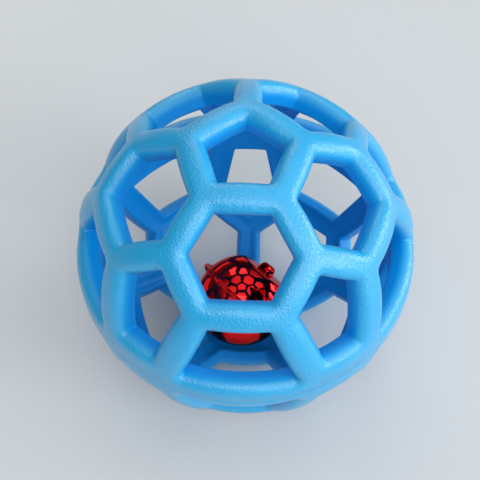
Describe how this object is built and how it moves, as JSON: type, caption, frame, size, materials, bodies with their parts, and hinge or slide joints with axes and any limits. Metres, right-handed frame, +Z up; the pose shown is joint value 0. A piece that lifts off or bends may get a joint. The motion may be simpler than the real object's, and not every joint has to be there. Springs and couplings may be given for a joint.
{
  "type": "lattice play ball with bell",
  "caption": "Open rubber lattice ball of two bonded halves with a crimped jingle bell lying loose inside, a rolling and chewing toy for dogs",
  "frame": {"origin": "centre of the ball's box on the surface that it stands on, under the bottom five-sided hole", "axes": "+Z up along the ball's five-fold axis, -Y towards the viewer through the front six-sided hole, +X to the viewer's right"},
  "size_m": [0.0898, 0.09, 0.0865],
  "materials": {
    "ball_rubber": "matt moulded rubber with a fine grain",
    "bell_lacquer": "clear red lacquer on bright pressed steel",
    "pellet_steel": "plain steel ball"
  },
  "bodies": {
    "ball": {"ball_upper_half": "ball_rubber", "ball_lower_half": "ball_rubber"},
    "bell": {"bell_crown_shell": "bell_lacquer", "bell_base_shell": "bell_lacquer", "bell_loop": "bell_lacquer"},
    "pellet": {"bell_pellet": "pellet_steel"}
  },
  "joints": [
    {"name": "bell_hop", "type": "slide", "parent": "ball", "child": "bell", "axis": [0, 0, 1], "range_m": [0, 0.0495]},
    {"name": "pellet_roll", "type": "hinge", "parent": "bell", "child": "pellet", "pos_m": [-0.0011, -0.002, 0.01706], "axis": [0.6102, 0.6231, 0.4894], "continuous": true}
  ]
}
